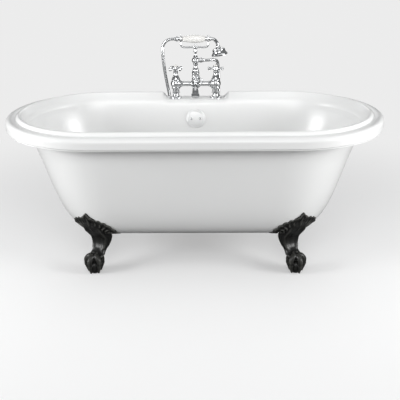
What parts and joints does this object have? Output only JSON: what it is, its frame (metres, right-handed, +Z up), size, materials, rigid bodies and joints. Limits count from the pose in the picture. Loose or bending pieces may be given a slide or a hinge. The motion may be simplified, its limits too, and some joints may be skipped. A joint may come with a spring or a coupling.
{
  "type": "clawfoot bathtub",
  "caption": "Freestanding double-ended bathtub with a rolled rim on claw-and-ball feet, with a deck-mounted telephone mixer, handset in a cradle and hanging hose.",
  "frame": {"origin": "on the floor under the middle of the tub", "axes": "+X along the tub's length, +Y across it towards the side with the taps, +Z up"},
  "size_m": [1.524, 0.7895, 0.8738],
  "materials": {
    "acrylic": "gloss",
    "board": "matte",
    "foot_iron": "semi-gloss",
    "pad": "matte",
    "zinc": "satin",
    "chrome": "polished",
    "brass": "satin",
    "gasket": "matte",
    "porcelain": "gloss",
    "hose_metal": "polished",
    "face_plastic": "matte"
  },
  "bodies": {
    "tub": {"basin_shell": "acrylic", "outer_skin": "acrylic", "base_board": "board", "tap_deck_board": "board", "claw_foot_front_left": "foot_iron", "claw_foot_front_right": "foot_iron", "claw_foot_rear_left": "foot_iron", "claw_foot_rear_right": "foot_iron", "levelling_pads": "pad", "foot_bolts": "zinc", "foot_washers": "zinc", "drain_flange": "chrome", "drain_gasket": "gasket", "drain_shoe": "brass", "waste_pipe": "brass", "waste_tee": "brass", "waste_tailpiece": "brass", "waste_slip_nuts": "brass", "overflow_plate": "chrome", "overflow_gasket": "gasket", "overflow_elbow": "brass", "overflow_pipe": "brass", "overflow_screws": "chrome", "pillar_left": "chrome", "pillar_right": "chrome", "tap_back_nuts": "brass", "tap_washers": "gasket", "mixer_body": "chrome", "spout": "chrome", "aerator": "face_plastic", "bonnet_left": "chrome", "bonnet_right": "chrome", "diverter_body": "chrome", "outlet_elbow": "chrome", "hose_nut_mixer": "chrome", "cradle_post": "chrome", "cradle": "chrome", "hose": "hose_metal"},
    "handle_left": {"cross_handle_left": "chrome", "index_cap_left": "porcelain"},
    "handle_right": {"cross_handle_right": "chrome", "index_cap_right": "porcelain"},
    "diverter": {"diverter_lever": "chrome"},
    "handset": {"handset_grip": "porcelain", "handset_ferrule": "chrome", "handset_neck": "chrome", "handset_rose": "chrome", "handset_face": "face_plastic", "hose_nut_handset": "chrome"},
    "stopper": {"drain_stopper": "chrome"}
  },
  "joints": [
    {"name": "handle_left_turn", "type": "hinge", "parent": "tub", "child": "handle_left", "pos_m": [-0.089, 0.341, 0.72], "axis": [0, 0, 1], "range_deg": [0, 90]},
    {"name": "handle_right_turn", "type": "hinge", "parent": "tub", "child": "handle_right", "pos_m": [0.089, 0.341, 0.72], "axis": [0, 0, -1], "range_deg": [0, 90]},
    {"name": "diverter_turn", "type": "hinge", "parent": "tub", "child": "diverter", "pos_m": [0, 0.32, 0.707], "axis": [0, -1, 0], "range_deg": [0, 90]},
    {"name": "handset_lift", "type": "slide", "parent": "tub", "child": "handset", "axis": [0, 0, 1], "range_m": [0, 0.08]},
    {"name": "stopper_lift", "type": "slide", "parent": "tub", "child": "stopper", "axis": [0, 0, 1], "range_m": [0, 0.009]}
  ]
}
